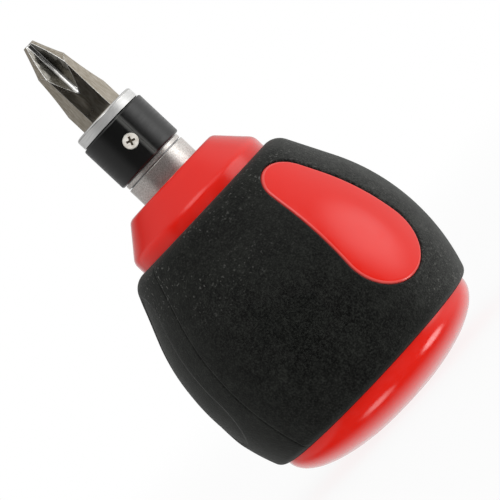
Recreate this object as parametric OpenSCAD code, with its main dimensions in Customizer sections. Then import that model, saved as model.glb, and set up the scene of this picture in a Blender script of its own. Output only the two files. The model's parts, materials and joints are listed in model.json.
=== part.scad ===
// Stubby ratcheting screwdriver with an insert bit.
// The tool stands on the rear end of its handle, with the bit up along +Z.
// The screw of the selector collar and one flat of the bit face -Y.

/* [Clearances] */
// Radial clearance between pieces that turn or slide on each other
run_gap = 0.04; // [0.02:0.01:0.08]
// Radial clearance between pieces that are seated in each other
fit_gap = 0.03; // [0.02:0.01:0.06]
// Axial clearance between faces that turn on each other
end_gap = 0.1; // [0.05:0.01:0.2]
// Axial clearance between faces that are seated on each other
seat_gap = 0.05; // [0.02:0.01:0.1]

/* [Bit] */
// Hexagon across the flats
hex_af = 6.35; // [6:0.05:6.5]
// Whole length of the bit
bit_len = 25; // [24:0.5:27]
// Length of the bit in front of the spindle
bit_out = 14.5; // [13:0.25:15]
// Half angle of the cross point
point_angle = 25; // [22:0.5:28]
// Radius of the blunt end of the point
point_r = 1.04; // [0.8:0.02:1.3]
// Radius of the wheel that grinds the flutes
flute_wheel_r = 21.7; // [18:0.1:26]
// Distance from the axis to the bottom of a flute at the point
flute_root_r = 0.55; // [0.45:0.01:0.7]
// Angle between the two walls of a flute
flute_angle = 92; // [86:1:96]
// Chamfer on the rear end of the bit
bit_chamfer = 0.5; // [0.3:0.05:0.8]

/* [Spindle] */
// Slack of the socket across the flats of the bit
socket_slack = 0.06; // [0.04:0.01:0.1]
// Wall outside the corners of the socket
spindle_wall = 0.55; // [0.5:0.01:0.6]
// Thickness of the front ring
ring_t = 1.7; // [1.6:0.05:2.4]
// Height of the front ring above the spindle
ring_rim = 1.1; // [0.9:0.05:1.2]
// Chamfer on the front edge of the ring
ring_chamfer = 0.25; // [0.1:0.05:0.4]
// Step from the shank behind the socket down to the gear seat
seat_step = 0.8; // [0.6:0.05:0.85]
// Thickness of the floor round the magnet
socket_floor = 0.85; // [0.6:0.05:1.2]
// Wall of the shank round the disc magnet
magnet_wall = 1; // [0.9:0.05:1.3]
// Thickness of the disc magnet
magnet_t = 2; // [1.5:0.1:2.5]
// Depth of the two flats of the gear seat
seat_flat_d = 0.5; // [0.4:0.05:0.55]
// Step from the gear seat down to the tail that turns in the bush
tail_step = 0.6; // [0.55:0.01:0.7]
// Depth of the groove for the clip
groove_d = 0.5; // [0.4:0.05:0.7]

/* [Selector] */
// Length of the collar
collar_len = 7.65; // [7:0.05:8.5]
// Wall of the collar
collar_wall = 0.88; // [0.8:0.01:1.1]
// Thickness of the lip at the front of the collar
collar_lip = 0.4; // [0.3:0.05:0.6]
// Rounding on the edges of the collar
collar_round = 0.3; // [0.15:0.05:0.4]
// Wall of the sleeve under the collar
sleeve_wall = 0.5; // [0.45:0.01:0.6]
// Angle that the selector turns each way from lock
throw = 20; // [16:1:22]
// Width of the scribed index line
index_w = 0.22; // [0.15:0.01:0.3]
// Depth of the scribed index line
index_d = 0.1; // [0.05:0.01:0.15]
// Radius of the screw's head
screw_head_r = 1.2; // [1.1:0.05:1.3]
// Thickness of the screw's head
screw_head_t = 0.36; // [0.3:0.02:0.4]
// Depth of the head below the collar
screw_sink = 0.12; // [0.05:0.01:0.15]
// Radius of the screw's shank
screw_r = 0.7; // [0.6:0.05:0.8]
// Width of the slots of the cross recess
recess_w = 0.3; // [0.2:0.02:0.4]
// Length of the slots of the cross recess
recess_len = 1.3; // [1:0.05:1.5]
// Depth of the cross recess
recess_d = 0.25; // [0.15:0.01:0.28]
// Thickness of the washer behind the collar
washer_t = 0.65; // [0.5:0.05:0.8]
// Step from the neck down to the washer
washer_step = 0.13; // [0.05:0.01:0.2]

/* [Ratchet] */
// Number of teeth, so that every tooth lines up with the pawls
teeth = 12; // [12]
// Height of the tips of the teeth above the sleeve
gear_rim = 0.11; // [0.06:0.01:0.2]
// Depth of the teeth
tooth_depth = 1.2; // [1.1:0.05:1.25]
// Wall of the gear under its teeth
gear_wall = 1.07; // [1:0.01:1.2]
// Width of a tooth space at its bottom
space_root_w = 1; // [0.9:0.05:1.1]
// Width of a tooth space at its mouth
space_tip_w = 1.5; // [1.4:0.05:1.6]
// Width of the gear along the axis
gear_w = 3.5; // [3:0.1:4]
// Thickness of the clip
clip_t = 0.5; // [0.4:0.05:0.6]
// Width of the clip's band
clip_w = 1.9; // [1.6:0.1:2.1]
// Lift of the pawls for each radian that the selector turns
cam_rate = 2; // [1.9:0.05:2.1]
// Distance from the front of a pawl's body to its pin
pin_set = 0.65; // [0.6:0.01:0.75]
// Radius of a pawl's pin
pin_r = 0.6; // [0.5:0.05:0.65]
// Width of a pawl
pawl_w = 3; // [2.8:0.1:3.2]
// Length of a pawl's body
pawl_len = 1.95; // [1.85:0.05:2]
// Width of a pawl's tip
pawl_tip_w = 0.35; // [0.3:0.05:0.4]
// Radius of a pawl spring
spring_r = 0.95; // [0.85:0.05:1]
// Wire of a pawl spring
spring_wire = 0.26; // [0.2:0.02:0.3]
// Turns of a pawl spring
spring_turns = 4; // [3:1:5]
// Depth of the pocket for the spring
pocket_depth = 1.45; // [1.2:0.05:1.5]
// Thickness of the cam plate
cam_t = 1.5; // [1.2:0.1:1.8]
// Rim of the cam plate outside its windows
cam_rim = 0.65; // [0.6:0.05:0.7]
// Wall of the cam plate beside its windows
lobe_wall = 1.4; // [1.2:0.05:1.6]
// Height of the hub between the cam plate and the gear
hub_h = 0.85; // [0.6:0.05:1]
// Radius of the detent bump
bump_r = 0.55; // [0.45:0.05:0.6]
// Thickness of the detent leaf
leaf_t = 0.25; // [0.2:0.05:0.3]
// Distance from the detent leaf to the wall of its chamber
leaf_set = 1.3; // [1.2:0.05:1.4]
// Clearance between the detent leaf and the waist of the cam plate
leaf_gap = 0.25; // [0.2:0.01:0.3]

/* [Housing] */
// Wall of the ratchet housing round the cam plate
housing_side = 1.25; // [1.2:0.05:1.4]
// Wall of the housing behind the two flats that key it
key_wall = 0.65; // [0.5:0.05:0.9]
// Front wall of the housing
housing_wall = 3; // [2.5:0.1:3.4]
// Chamfer on the front of the housing
housing_chamfer = 1.5; // [1.2:0.1:2]
// Wall behind each pawl spring
spring_wall = 0.8; // [0.7:0.05:0.9]
// Clearance behind the gear
gear_back = 0.35; // [0.3:0.05:0.5]
// Wall of the ferrule
ferrule_wall = 0.5; // [0.45:0.01:0.6]
// Height of the shoulder at the rear of the ferrule
shoulder_h = 0.6; // [0.4:0.05:0.8]
// Thickness of that shoulder
shoulder_t = 0.7; // [0.5:0.05:0.9]
// Thickness of the cover
cover_t = 2.15; // [1.8:0.05:2.6]
// Wall of the rear bush
bush_wall = 0.95; // [0.8:0.05:1]
// Length of the rear bush
bush_len = 3.3; // [2.8:0.1:3.8]
// Wall of the hub round the bush
bush_hub = 1.6; // [1.2:0.1:2]
// Number of cover screws
cover_screw_count = 3; // [3:1:4]
// Plastic between the housing and a cover screw
screw_wall = 0.8; // [0.7:0.05:0.9]
// Radius of a cover screw
cover_screw_r = 0.9; // [0.8:0.05:1]
// Radius of a cover screw's head
cover_head_r = 1.65; // [1.4:0.05:1.7]
// Height of a cover screw's head
cover_head_h = 1.1; // [0.8:0.1:1.4]
// Width of the slots of a cover screw's recess
cover_recess_w = 0.45; // [0.4:0.05:0.6]
// Length of the slots of a cover screw's recess
cover_recess_len = 1.9; // [1.5:0.1:2.2]
// Depth of a cover screw's recess
cover_recess_d = 0.65; // [0.4:0.05:0.7]
// Length of a cover screw under its head
cover_screw_len = 5; // [4.5:0.1:5.2]
// Clearance between a cover screw's head and the hollow of the core
head_gap = 0.25; // [0.15:0.05:0.4]

/* [Handle] */
// Length of neck that shows in front of the nose
neck_len = 2.95; // [2:0.05:3.5]
// Gap between the neck and the washer
neck_gap = 0.15; // [0.08:0.01:0.25]
// Width of the flat ring on the front of the nose
nose_lip = 2.5; // [2.1:0.1:2.8]
// Rounding between the front and the cone of the nose
nose_round = 1.3; // [0.9:0.1:1.6]
// Half angle of the cone of the nose
nose_angle = 41.2; // [39:0.1:43]
// Wall of the nose round the housing
nose_wall = 2.7; // [2.5:0.05:2.9]
// Plastic in front of the ratchet housing
nose_t = 3.7; // [3.6:0.1:4.2]
// Length of the nose from its front face to the rubber
nose_len = 6.5; // [6.1:0.1:6.9]
// Length of the nose under the front of the rubber
nose_lap = 2.1; // [1.5:0.1:2.5]
// Wall of the core at its largest radius
core_wall = 5.2; // [4.8:0.1:6]
// Distance from the end cap to the largest radius of the rubber
belly_len = 11.9; // [10:0.1:13]
// Distance from the largest radius to the front of the rubber
taper_len = 21.6; // [20.5:0.1:24]
// Radius of the curve of the rubber behind its largest radius
rear_curve_r = 32; // [28:0.5:40]
// Height of the front edge of the rubber above the nose, before it is rounded
front_lip = 2.1; // [2:0.05:2.4]
// Angle of the straight taper of the rubber
grip_taper = 25; // [23:0.1:26]
// Rounding on the front edge of the rubber
grip_front_round = 3; // [2:0.1:3]
// Rounding on the rear edge of the rubber
grip_rear_round = 1.6; // [1:0.1:2]
// Thickness of the rubber
rubber_t = 2.8; // [2.2:0.1:3.2]

/* [Window] */
// Angle of the window from the collar's screw
window_angle = 41; // [30:1:50]
// Distance from the end cap to the window
window_rear = 6.1; // [5:0.1:7]
// Distance from the window to the front of the rubber
window_front = 2.2; // [2.2:0.1:4]
// Radius of the window's rear end
window_rear_r = 6.9; // [6:0.1:7.5]
// Radius of the window's front end
window_front_r = 4.2; // [3.5:0.1:4.8]
// Radius of the window's long sides
window_side_r = 120; // [60:5:200]
// Depth of the red core below the rubber in the window
window_sink = 0.1; // [0.05:0.01:0.3]
// Depth of the two thumb hollows of the same outline round the handle
thumb_sink = 0.3; // [0.2:0.05:0.6]

/* [End cap] */
// Height of the end cap
cap_h = 6.3; // [6:0.1:7.5]
// Step from the rubber in to the end cap
cap_step = 1; // [0.8:0.05:1.4]
// Radius of the flat on which the tool stands
rest_r = 7; // [6:0.1:8]
// Exponent of the dome across the radius
dome_p = 2.2; // [2.1:0.05:2.6]
// Exponent of the dome along the height
dome_q = 2.1; // [2:0.05:2.4]
// Floor of the end cap
cap_floor = 2.6; // [2.2:0.1:3.2]
// Length of the spigot in the core
spigot_len = 4.5; // [3.5:0.1:6]
// Wall of the spigot
spigot_wall = 2.1; // [1.6:0.1:2.6]

/* [Hidden] */
$fn = 72;
// Overshoot of a cut past the face that it opens
cut = 0.5;
// Points along a long curve and along a small rounding
long_steps = 18;
round_steps = 6;
full_turn = 360;
corner = 1 / cos(30);

// Heights along the axis, from the rear end of the handle
grip_r_z = cap_h + belly_len;
z_rubber = grip_r_z + taper_len;
z_lap = z_rubber - nose_lap;
z_nose = z_rubber + nose_len;
z_neck = z_nose + neck_len;
z_washer = z_neck + neck_gap;
z_collar = z_washer + washer_t + end_gap;
z_collar_top = z_collar + collar_len;
z_ring = z_collar_top + end_gap;
z_mouth = z_ring + ring_t;
z_tip = z_mouth + bit_out;
z_bit = z_tip - bit_len;
z_socket = z_bit - seat_gap;
z_magnet = z_socket - magnet_t;
z_step = z_socket - socket_floor;
z_house_top = z_nose - nose_t;
z_roof = z_house_top - housing_wall;
z_cam_top = z_roof - end_gap;
z_cam = z_cam_top - cam_t;
z_chamber = z_cam - end_gap;
z_hub = z_cam - hub_h;
z_gear_top = z_hub - end_gap;
z_gear = z_gear_top - gear_w;
z_house = z_gear - gear_back;
z_cover_top = z_house - seat_gap;
z_cover = z_cover_top - cover_t;
z_clip_top = z_gear - seat_gap;
z_clip = z_clip_top - clip_t;
z_recess = z_clip - 2 * end_gap;
z_bush = z_recess - bush_len;
z_screw = z_collar + collar_len / 2;
z_pawl = z_cover_top + end_gap;
z_pawl_top = z_chamber - seat_gap;
z_spring = (z_pawl + z_pawl_top) / 2;

// Radii of the nested pieces, from the bit outwards to the sleeve and in again to the tail
hex_r = hex_af / 2 * corner;
socket_r = (hex_af + socket_slack) / 2 * corner;
spindle_r = socket_r + spindle_wall;
ring_r = spindle_r + ring_rim;
sleeve_ri = spindle_r + run_gap;
sleeve_r = sleeve_ri + sleeve_wall;
gear_tip_r = sleeve_r + gear_rim;
gear_root_r = gear_tip_r - tooth_depth;
seat_r = gear_root_r - gear_wall - fit_gap;
tail_r = seat_r - tail_step;
groove_r = tail_r - groove_d;
shank_r = seat_r + seat_step;
magnet_r = shank_r - magnet_wall;
sleeve_rear_ri = shank_r + run_gap;
collar_ri = sleeve_r + fit_gap;
collar_r = collar_ri + collar_wall;
ferrule_ri = sleeve_r + run_gap;
ferrule_r = ferrule_ri + ferrule_wall;
shoulder_r = ferrule_r + shoulder_h;
washer_r = ferrule_r - washer_step;
bush_ri = tail_r + run_gap;
bush_r = bush_ri + bush_wall;
head_seat_r = collar_r - screw_sink - screw_head_t;

// Ratchet: at full depth a pawl's tip is just clear of the bottom of a tooth space
travel = cam_rate * throw * PI / 180;
pawl_tip_at = gear_root_r + end_gap + travel;
pawl_body_at = gear_tip_r + seat_gap + travel;
pawl_back_at = pawl_body_at + pawl_len;
pin_at = pawl_body_at + pin_set;
pocket_r = spring_r + spring_wire / 2 + 3 * run_gap;
gear_bore_r = gear_tip_r + 4 * end_gap;
cam_offset = pin_r / cos(atan(cam_rate / (pin_at - travel))) + run_gap;
pin_end_angle = asin((pin_r + 2 * run_gap) / (pin_at - travel));
window_reach = throw + pin_end_angle;
cam_window_r = pin_at + travel + pin_r + end_gap;
cam_r = cam_window_r + cam_rim;
cam_lobe_w = cam_window_r * sin(window_reach) + lobe_wall;
chamber_r = cam_r + 2 * end_gap;
housing_r = chamber_r + housing_side;
housing_half = chamber_r + key_wall;
spring_out = housing_r - spring_wall;
spring_in = pawl_back_at - pocket_depth;
hub_r = gear_root_r + 2 * end_gap + tooth_depth / 2;

// Detent: a flat leaf whose bump sits in the middle one of three notches
leaf_at = chamber_r - leaf_set;
cam_waist_r = leaf_at - leaf_gap;
leaf_half = sqrt(pow(chamber_r, 2) - pow(leaf_at + leaf_t, 2)) - seat_gap;

// Handle, from the housing outwards; the front curve runs tangent into the straight taper
cover_screw_at = housing_r + screw_wall + cover_screw_r;
hollow_r = cover_screw_at + cover_head_r + head_gap;
cover_r = hollow_r - end_gap;
nose_r = housing_r + nose_wall;
nose_face_r = ferrule_r + fit_gap + nose_lip;
grip_r = hollow_r + core_wall + rubber_t;
front_r = nose_r + front_lip;
front_curve_r = (taper_len * sin(grip_taper) - (grip_r - front_r) * cos(grip_taper))
    / (1 - cos(grip_taper));
cap_r = rear_r(cap_h + seat_gap, 0) - cap_step;

// Oval window and the thumb hollows of the same outline
window_z = cap_h + window_rear;
window_len = z_rubber - window_front - window_z;
window_count = 3;

// Points of an arc about [x, z], from one angle to another
function arc(x, z, r, from, to, steps) =
    [for (i = [0:steps]) let (a = from + (to - from) * i / steps) [x + r * cos(a), z + r * sin(a)]];

// Straight taper of the rubber, sunk below its skin: the radius at a height
function taper_r(z, sink) = front_r + (z_rubber - z) * tan(grip_taper) - sink / cos(grip_taper);
// Rear curve of the rubber, sunk below its skin: the radius at a height
function rear_r(z, sink) =
    grip_r - rear_curve_r + sqrt(pow(rear_curve_r - sink, 2) - pow(z - grip_r_z, 2));
// Angle at which the rear curve passes a height
function rear_angle(z, sink) = asin((z - grip_r_z) / (rear_curve_r - sink));

// Outline from a height on the rear curve to the start of the taper, sunk below the skin
function belly(z, angle_sink, sink) = concat(
    arc(grip_r - rear_curve_r, grip_r_z, rear_curve_r - sink,
        rear_angle(z, angle_sink), 0, long_steps),
    arc(grip_r - front_curve_r, grip_r_z, front_curve_r - sink,
        grip_taper / long_steps, grip_taper, long_steps - 1)
);

// Outline of the rubber's skin, rear to front
function skin() =
    let (
        rear_z = cap_h + seat_gap + grip_rear_round,
        front_z = z_rubber - grip_front_round
    )
    concat(
        arc(rear_r(rear_z, grip_rear_round), rear_z, grip_rear_round,
            -90, rear_angle(rear_z, grip_rear_round), round_steps),
        belly(rear_z, grip_rear_round, 0),
        arc(taper_r(front_z, grip_front_round), front_z, grip_front_round,
            grip_taper, 90, round_steps)
    );

// Half of a tooth space at a radius
function space_half(r) =
    (space_root_w + (space_tip_w - space_root_w) * (r - gear_root_r) / tooth_depth) / 2;

// Dome of the end cap: its height at a radius, before the rest flat is cut
function dome_z(r) = cap_h * (1 - pow(1 - pow(r / cap_r, dome_p), 1 / dome_q));

module tube(r, ri, h) {
    difference() {
        cylinder(r = r, h = h);
        translate([0, 0, -cut]) cylinder(r = ri, h = h + 2 * cut);
    }
}

// Drop-shaped outline of the window, with its length along Y: its long sides run tangent into its ends
module drop(grow) {
    rear = window_z + window_rear_r;
    front = window_z + window_len - window_front_r;
    rear_reach = window_side_r - window_rear_r;
    front_reach = window_side_r - window_front_r;
    up = (pow(rear_reach, 2) - pow(front_reach, 2) + pow(front - rear, 2)) / (2 * (front - rear));
    across = sqrt(pow(rear_reach, 2) - pow(up, 2));
    low = atan2(-up, across);
    high = atan2(front - rear - up, across);
    step = (high - low) / round_steps;
    side_r = window_side_r + grow;
    polygon(concat(
        arc(0, rear, window_rear_r + grow, 180 - low, full_turn + low, long_steps),
        arc(-across, rear + up, side_r, low + step, high - step, round_steps - 2),
        arc(0, front, window_front_r + grow, high, 180 - high, long_steps),
        arc(across, rear + up, side_r, 180 - high + step, 180 - low - step, round_steps - 2)
    ));
}

// Prism of the window, through the wall of the handle
module window_prism(grow) {
    rotate([0, 0, window_angle])
        translate([0, -hollow_r - seat_gap, 0])
            rotate([90, 0, 0])
                linear_extrude(grip_r - hollow_r + cut) drop(grow);
}

// Wheel that grinds one flute, standing against the -Y side of the bit
module flute_wheel() {
    deep = hex_r + cut;
    half = deep * tan(flute_angle / 2);
    translate([0, -flute_wheel_r - flute_root_r, z_tip])
        rotate([0, 90, 0])
            rotate_extrude()
                polygon([[flute_wheel_r, 0], [flute_wheel_r - deep, half], [flute_wheel_r - deep, -half]]);
}

module bit() {
    blank_r = hex_r + cut;
    cone_z = z_tip - (blank_r - point_r) / tan(point_angle);
    color("dimgray") difference() {
        intersection() {
            translate([0, 0, z_bit]) cylinder(r = hex_r, h = bit_len, $fn = 6);
            rotate_extrude() polygon([
                [0, z_bit], [hex_r - bit_chamfer, z_bit], [blank_r, z_bit + bit_chamfer + cut],
                [blank_r, cone_z], [point_r, z_tip], [0, z_tip]
            ]);
        }
        for (a = [0:90:270]) rotate([0, 0, a]) flute_wheel();
    }
}

module bit_magnet() {
    color("silver") translate([0, 0, z_magnet]) cylinder(r = magnet_r, h = magnet_t);
}

// Turned outline of the spindle, from the tail to the front ring
module spindle_turning() {
    rotate_extrude() polygon([
        [0, z_bush + end_gap], [tail_r, z_bush + end_gap], [tail_r, z_clip - seat_gap],
        [groove_r, z_clip - seat_gap], [groove_r, z_clip_top + seat_gap / 2],
        [seat_r, z_clip_top + seat_gap / 2], [seat_r, z_gear_top + seat_gap / 2],
        [shank_r, z_gear_top + seat_gap / 2], [shank_r, z_step], [spindle_r, z_step],
        [spindle_r, z_ring], [ring_r, z_ring], [ring_r, z_mouth - ring_chamfer],
        [ring_r - ring_chamfer, z_mouth], [0, z_mouth]
    ]);
}

module spindle() {
    color("lightgray") difference() {
        spindle_turning();
        translate([0, 0, z_socket]) cylinder(r = socket_r, h = z_mouth - z_socket + cut, $fn = 6);
        translate([0, 0, z_magnet - seat_gap])
            cylinder(r = magnet_r + fit_gap, h = magnet_t + 2 * seat_gap);
        for (side = [0, 180]) rotate([0, 0, side])
            translate([-shank_r, seat_r - seat_flat_d, z_clip_top])
                cube([2 * shank_r, shank_r, z_gear_top + seat_gap / 2 - z_clip_top]);
    }
}

// One tooth space, on +X
module tooth_space() {
    reach = gear_tip_r + cut;
    polygon([
        [gear_root_r, -space_half(gear_root_r)], [reach, -space_half(reach)],
        [reach, space_half(reach)], [gear_root_r, space_half(gear_root_r)]
    ]);
}

module ratchet_gear() {
    color("gray") translate([0, 0, z_gear]) linear_extrude(gear_w) difference() {
        circle(r = gear_tip_r);
        intersection() {
            circle(r = seat_r + fit_gap);
            square(2 * [seat_r + cut, seat_r - seat_flat_d + fit_gap], center = true);
        }
        for (i = [0:teeth - 1]) rotate(full_turn * i / teeth) tooth_space();
    }
}

module gear_clip() {
    clip_r = groove_r + clip_w;
    color("gray") translate([0, 0, z_clip]) linear_extrude(clip_t) difference() {
        circle(r = clip_r);
        circle(r = groove_r + fit_gap);
        translate([0, -groove_r]) square([clip_r + cut, 2 * groove_r]);
    }
}

module selector_collar() {
    index_angle = asin((screw_head_r + run_gap) / collar_r);
    edge_r = collar_r - collar_round;
    color([0.09, 0.09, 0.09]) difference() {
        rotate_extrude() polygon(concat(
            [[collar_ri, z_collar]],
            arc(edge_r, z_collar + collar_round, collar_round, -90, 0, round_steps),
            arc(edge_r, z_collar_top - collar_round, collar_round, 0, 90, round_steps),
            [[sleeve_ri, z_collar_top], [sleeve_ri, z_collar_top - collar_lip],
             [collar_ri, z_collar_top - collar_lip]]
        ));
        translate([0, 0, z_screw]) rotate([90, 0, 0]) {
            cylinder(r = screw_r + run_gap, h = collar_r + cut);
            translate([0, 0, head_seat_r]) cylinder(r = screw_head_r + 2 * run_gap, h = collar_r);
        }
        rotate([0, 0, index_angle])
            translate([-index_w / 2, -collar_r - cut, z_collar - cut])
                cube([index_w, index_d + cut, collar_len + 2 * cut]);
    }
}

module selector_screw() {
    head_top = head_seat_r + screw_head_t;
    color("white") translate([0, 0, z_screw]) rotate([90, 0, 0]) difference() {
        union() {
            translate([0, 0, sleeve_ri + run_gap]) cylinder(r = screw_r, h = head_seat_r - sleeve_ri);
            translate([0, 0, head_seat_r + seat_gap / 2])
                cylinder(r = screw_head_r, h = screw_head_t - seat_gap / 2);
        }
        for (a = [0, 90]) rotate([0, 0, a]) translate([0, 0, head_top])
            cube([recess_len, recess_w, 2 * recess_d], center = true);
    }
}

// Window of the cam plate for the pawl on +X; lift is +1 or -1
module cam_window(lift) {
    ends = [-window_reach, window_reach];
    inner = [for (i = [0:long_steps])
        let (a = ends[0] + (ends[1] - ends[0]) * i / long_steps)
        let (held = max(-throw, min(throw, a)))
        let (r = pin_at - lift * cam_rate * held * PI / 180 - cam_offset)
        [r * cos(a), r * sin(a)]];
    polygon(concat(inner, arc(0, 0, cam_window_r, ends[1], ends[0], long_steps)));
}

module cam_plate() {
    difference() {
        union() {
            circle(r = cam_waist_r);
            intersection() {
                circle(r = cam_r);
                square(2 * [cam_r + cut, cam_lobe_w], center = true);
            }
        }
        circle(r = sleeve_rear_ri);
        cam_window(1);
        rotate(180) cam_window(-1);
        for (a = [-throw, 0, throw]) rotate(a)
            translate([0, -leaf_at]) circle(r = bump_r + run_gap);
    }
}

module selector_sleeve() {
    top = z_collar_top - collar_lip - seat_gap;
    color("gray") difference() {
        union() {
            translate([0, 0, z_cam]) linear_extrude(cam_t) cam_plate();
            rotate_extrude() polygon([
                [sleeve_rear_ri, z_hub], [hub_r, z_hub], [hub_r, z_cam + cam_t / 2],
                [sleeve_r, z_cam + cam_t / 2], [sleeve_r, top], [sleeve_ri, top],
                [sleeve_ri, z_step - end_gap], [sleeve_rear_ri, z_step - end_gap]
            ]);
        }
        translate([0, 0, z_screw]) rotate([90, 0, 0])
            cylinder(r = screw_r + run_gap, h = sleeve_r + cut);
    }
}

module thrust_washer() {
    color("silver") translate([0, 0, z_washer]) tube(washer_r, ferrule_ri, washer_t);
}

module ferrule() {
    z_shoulder = z_roof + seat_gap;
    color("silver") rotate_extrude() polygon([
        [ferrule_ri, z_shoulder], [shoulder_r, z_shoulder], [shoulder_r, z_shoulder + shoulder_t],
        [ferrule_r, z_shoulder + shoulder_t], [ferrule_r, z_neck], [ferrule_ri, z_neck]
    ]);
}

// Outline of the housing or of the cavity that it is keyed in
module housing_outline(grow) {
    intersection() {
        circle(r = housing_r + grow);
        square(2 * [housing_r + grow + cut, housing_half + grow], center = true);
    }
}

// Cone that chamfers the front of the housing or of its cavity
module housing_cone(grow) {
    top = z_house_top + grow;
    side = housing_r + grow;
    rotate_extrude() polygon([
        [0, z_house - cut], [side, z_house - cut], [side, top - housing_chamfer],
        [side - housing_chamfer, top], [0, top]
    ]);
}

module housing_block(grow) {
    intersection() {
        translate([0, 0, z_house]) linear_extrude(z_house_top - z_house + grow) housing_outline(grow);
        housing_cone(grow);
    }
}

module ratchet_housing() {
    slot_w = pawl_w + 2 * run_gap;
    color("darkgray") difference() {
        housing_block(0);
        translate([0, 0, z_house - cut]) cylinder(r = gear_bore_r, h = z_roof - z_house);
        translate([0, 0, z_chamber]) cylinder(r = chamber_r, h = z_roof - z_chamber);
        translate([0, 0, z_chamber])
            cylinder(r = ferrule_r + fit_gap, h = z_house_top - z_chamber + cut);
        translate([0, 0, z_chamber])
            cylinder(r = shoulder_r + fit_gap, h = z_roof - z_chamber + shoulder_t + 2 * seat_gap);
        translate([-spring_out, -slot_w / 2, z_house - cut])
            cube([2 * spring_out, slot_w, z_chamber - z_house + 2 * cut]);
    }
}

// Places of the cover screws
module at_cover_screws() {
    for (i = [0:cover_screw_count - 1])
        rotate([0, 0, 90 + full_turn * i / cover_screw_count]) translate([cover_screw_at, 0, 0]) children();
}

module housing_cover() {
    recess_r = groove_r + clip_w + 3 * end_gap;
    color("darkgray") difference() {
        union() {
            translate([0, 0, z_cover]) cylinder(r = cover_r, h = cover_t);
            translate([0, 0, z_bush]) cylinder(r = bush_r + bush_hub, h = z_cover_top - z_bush);
        }
        translate([0, 0, z_bush - cut]) cylinder(r = bush_r + fit_gap, h = z_recess - z_bush + 2 * cut);
        translate([0, 0, z_recess]) cylinder(r = recess_r, h = z_cover_top - z_recess + cut);
        at_cover_screws() translate([0, 0, z_cover - cut])
            cylinder(r = cover_screw_r + 2 * run_gap, h = cover_t + 2 * cut);
    }
}

module cover_screws() {
    color("silver") at_cover_screws() difference() {
        union() {
            translate([0, 0, z_cover - seat_gap - cover_head_h])
                cylinder(r = cover_head_r, h = cover_head_h);
            translate([0, 0, z_cover - seat_gap - cover_head_h / 2])
                cylinder(r = cover_screw_r, h = cover_screw_len + cover_head_h / 2);
        }
        for (a = [0, 90]) rotate([0, 0, a]) translate([0, 0, z_cover - seat_gap - cover_head_h])
            cube([cover_recess_len, cover_recess_w, 2 * cover_recess_d], center = true);
    }
}

module rear_bush() {
    color("goldenrod") translate([0, 0, z_bush]) tube(bush_r, bush_ri, bush_len - seat_gap);
}

// Pawl on +X; it drives on the +Y side of its tooth space
module pawl() {
    deep = pawl_tip_at - travel;
    mouth = pawl_body_at - travel;
    drive_tip = space_half(deep) - run_gap;
    drive_mouth = space_half(mouth) - run_gap;
    difference() {
        union() {
            translate([travel, 0, z_gear]) linear_extrude(gear_w) polygon([
                [deep, drive_tip - pawl_tip_w], [deep, drive_tip],
                [mouth, drive_mouth], [mouth + cut, drive_mouth],
                [mouth + cut, -drive_mouth], [mouth, -drive_mouth]
            ]);
            translate([pawl_body_at, -pawl_w / 2, z_pawl])
                cube([pawl_len, pawl_w, z_pawl_top - z_pawl]);
            translate([pin_at, 0, z_spring])
                cylinder(r = pin_r, h = z_cam_top - seat_gap - z_spring);
        }
        translate([spring_in, 0, z_spring]) rotate([0, 90, 0])
            cylinder(r = pocket_r, h = pocket_depth + cut);
    }
}

module pawl_a() {
    color("slategray") pawl();
}

module pawl_b() {
    color("slategray") mirror([1, 0, 0]) pawl();
}

// Coil spring along +X, as one swept wire
module coil(from, to) {
    sides = 6;
    rings_per_turn = 10;
    rings = rings_per_turn * spring_turns;
    wire = spring_wire / 2;
    lead = (to - from - spring_wire) / spring_turns;
    points = [for (i = [0:rings], j = [0:sides - 1])
        let (a = full_turn * spring_turns * i / rings, b = full_turn * j / sides)
        let (r = spring_r + wire * cos(b))
        [from + wire + lead * a / full_turn + wire * sin(b), r * cos(a), r * sin(a)]];
    skins = [for (i = [0:rings - 1], j = [0:sides - 1])
        let (k = (j + 1) % sides, p = i * sides, q = p + sides)
        each [[p + j, q + j, q + k], [p + j, q + k, p + k]]];
    start = [for (j = [1:sides - 2]) [0, j, j + 1]];
    last = rings * sides;
    finish = [for (j = [1:sides - 2]) [last, last + j + 1, last + j]];
    polyhedron(points, concat(skins, start, finish));
}

module pawl_spring() {
    translate([0, 0, z_spring]) coil(spring_in + seat_gap, spring_out - seat_gap);
}

module pawl_spring_a() {
    color("silver") pawl_spring();
}

module pawl_spring_b() {
    color("silver") rotate([0, 0, 180]) pawl_spring();
}

module detent_spring() {
    color("silver") translate([0, 0, z_cam]) linear_extrude(cam_t - end_gap) {
        translate([-leaf_half, -leaf_at - leaf_t]) square([2 * leaf_half, leaf_t]);
        translate([0, -leaf_at]) circle(r = bump_r);
    }
}

// Outline of the core under the rubber, or of the hole in the rubber when grown by a clearance
function under_rubber(grow) = [
    for (p = concat(
        belly(cap_h + seat_gap, rubber_t, rubber_t),
        [[taper_r(z_lap, rubber_t), z_lap], [nose_r, z_lap]]
    )) [p[0] + grow, p[1]]
];

// Outside of the red core with no window
module core_outside() {
    round_z = z_nose - nose_round;
    side_r = nose_face_r + nose_round * cos(nose_angle);
    cone_z = round_z + nose_round * sin(nose_angle) - (nose_r - side_r) / tan(nose_angle);
    rotate_extrude() polygon(concat(
        [[0, cap_h + seat_gap]],
        under_rubber(0),
        [[nose_r, cone_z]],
        arc(nose_face_r, round_z, nose_round, nose_angle, 90, round_steps),
        [[0, z_nose]]
    ));
}

// Rubber outline filled to the axis, sunk below the skin
module skin_solid(sink) {
    rotate_extrude() polygon(concat(
        [[0, cap_h + seat_gap]],
        belly(cap_h + seat_gap, sink, sink),
        [[taper_r(z_lap, sink), z_lap], [0, z_lap]]
    ));
}

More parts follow.
